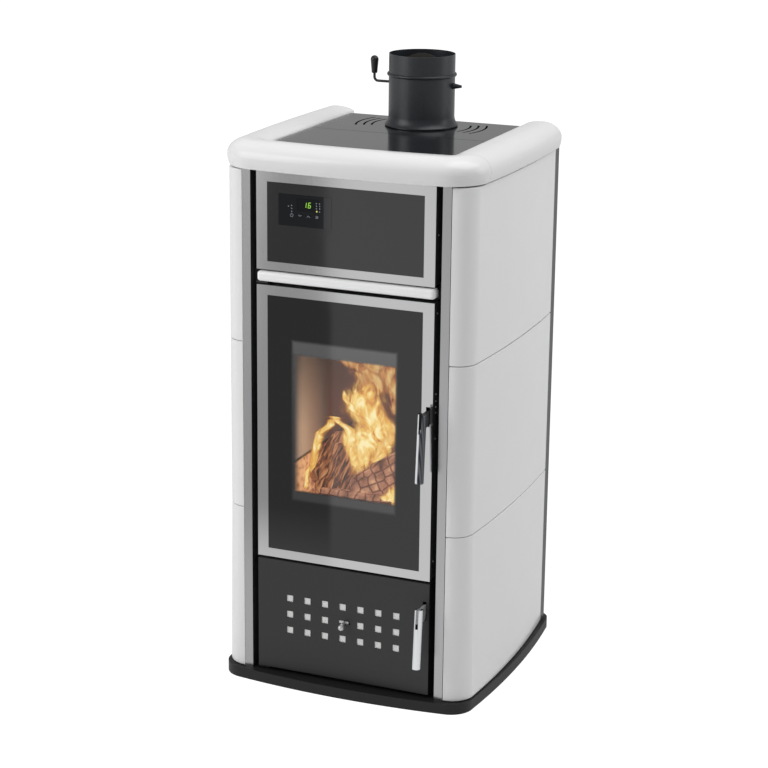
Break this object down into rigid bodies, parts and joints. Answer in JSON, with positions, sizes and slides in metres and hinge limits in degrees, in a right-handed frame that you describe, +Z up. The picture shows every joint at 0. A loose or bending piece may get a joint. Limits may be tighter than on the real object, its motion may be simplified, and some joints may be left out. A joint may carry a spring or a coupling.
{
  "type": "wood-burning boiler stove",
  "caption": "Upright wood-burning boiler stove with white ceramic sides and cornice, steel-framed glass fire door, pierced ash door, control panel and a damper flue on top",
  "frame": {"origin": "on the floor at the plan centre of the plinth", "axes": "+X to the user's right when facing the doors, +Y to the back, +Z up"},
  "size_m": [0.6348, 0.652, 1.406],
  "materials": {
    "white_glaze": "smooth clear glaze over white ceramic",
    "black_paint": "satin heat-proof black on sheet steel",
    "grey_paint": "satin grey on sheet steel",
    "top_paint": "smooth semi-gloss grey on steel plate",
    "flue_paint": "satin blue-black enamel on pipe",
    "stainless": "fine vertical brushing",
    "chrome": "polished",
    "zinc_steel": "dull zinc plate",
    "boiler_steel": "raw black boiler plate",
    "cast_iron": "rough casting",
    "fire_brick": "matt vermiculite board, sooted",
    "dark_glass": "smoked ceramic glass",
    "rope_seal": "knitted glass rope",
    "black_plastic": "matt moulded",
    "key_plastic": "smooth dark caps with pale marks",
    "display_window": "smoked lens over a green display"
  },
  "bodies": {
    "stove_body": {"base_plinth": "black_paint", "levelling_feet": "zinc_steel", "front_frame": "black_paint", "left_front_pillar": "stainless", "right_front_pillar": "stainless", "left_side_frame": "grey_paint", "right_side_frame": "grey_paint", "rear_panel": "zinc_steel", "left_tile_lower": "white_glaze", "left_tile_middle": "white_glaze", "left_tile_upper": "white_glaze", "right_tile_lower": "white_glaze", "right_tile_middle": "white_glaze", "right_tile_upper": "white_glaze", "tile_rails": "zinc_steel", "top_frame": "black_paint", "front_cornice": "white_glaze", "left_cornice": "white_glaze", "right_cornice": "white_glaze", "top_plate_rear": "top_paint", "flue_pipe": "flue_paint", "boiler_jacket": "boiler_steel", "firebox_shell": "boiler_steel", "fire_tubes": "boiler_steel", "smoke_chamber": "boiler_steel", "left_fire_brick": "fire_brick", "right_fire_brick": "fire_brick", "rear_fire_brick": "fire_brick", "fire_grate": "cast_iron", "ash_pan": "boiler_steel", "water_sockets": "zinc_steel", "upper_panel_frame": "black_paint", "upper_panel_trim": "stainless", "upper_panel_glass": "dark_glass", "control_housing": "black_plastic", "display_lens": "display_window", "ceramic_bar": "white_glaze", "hinge_brackets": "black_paint", "latch_keepers": "zinc_steel"},
    "top_cover": {"top_plate_front": "top_paint"},
    "damper": {"damper_shaft": "flue_paint", "damper_blade": "boiler_steel", "damper_grip": "black_plastic"},
    "fire_door": {"fire_door_frame": "black_paint", "fire_door_trim": "stainless", "fire_door_glass": "dark_glass", "fire_door_seal": "rope_seal"},
    "fire_handle": {"fire_handle_lever": "black_paint", "fire_handle_grip": "chrome"},
    "ash_door": {"ash_door_skin": "black_paint", "ash_door_frame": "black_paint", "ash_door_seal": "rope_seal"},
    "ash_handle": {"ash_handle_lever": "stainless", "ash_handle_grip": "chrome"},
    "air_control": {"air_shutter": "stainless", "air_knob": "chrome"},
    "power_button": {"power_key": "key_plastic"},
    "down_button": {"down_key": "key_plastic"},
    "up_button": {"up_key": "key_plastic"},
    "menu_button": {"menu_key": "key_plastic"}
  },
  "joints": [
    {"name": "fire_door_hinge", "type": "hinge", "parent": "stove_body", "child": "fire_door", "pos_m": [-0.2, -0.267, 0.622], "axis": [0, 0, -1], "range_deg": [0, 110]},
    {"name": "ash_door_hinge", "type": "hinge", "parent": "stove_body", "child": "ash_door", "pos_m": [-0.2, -0.267, 0.1665], "axis": [0, 0, -1], "range_deg": [0, 110]},
    {"name": "fire_door_handle", "type": "hinge", "parent": "fire_door", "child": "fire_handle", "pos_m": [0.199, -0.275, 0.693], "axis": [-1, 0, 0], "range_deg": [0, 35]},
    {"name": "ash_door_handle", "type": "hinge", "parent": "ash_door", "child": "ash_handle", "pos_m": [0.199, -0.275, 0.242], "axis": [-1, 0, 0], "range_deg": [0, 35]},
    {"name": "air_shutter_slide", "type": "slide", "parent": "ash_door", "child": "air_control", "axis": [1, 0, 0], "range_m": [-0.0109, 0.0109]},
    {"name": "flue_damper", "type": "hinge", "parent": "stove_body", "child": "damper", "pos_m": [0, 0.154, 1.336], "axis": [1, 0, 0], "range_deg": [0, 90]},
    {"name": "top_cover_lift", "type": "slide", "parent": "stove_body", "child": "top_cover", "axis": [0, 0, 1], "range_m": [0, 0.15]},
    {"name": "power_key_press", "type": "slide", "parent": "stove_body", "child": "power_button", "axis": [0, 1, 0], "range_m": [0, 0.0006], "stiffness_N_per_m": 300},
    {"name": "down_key_press", "type": "slide", "parent": "stove_body", "child": "down_button", "axis": [0, 1, 0], "range_m": [0, 0.0006], "stiffness_N_per_m": 300},
    {"name": "up_key_press", "type": "slide", "parent": "stove_body", "child": "up_button", "axis": [0, 1, 0], "range_m": [0, 0.0006], "stiffness_N_per_m": 300},
    {"name": "menu_key_press", "type": "slide", "parent": "stove_body", "child": "menu_button", "axis": [0, 1, 0], "range_m": [0, 0.0006], "stiffness_N_per_m": 300}
  ]
}
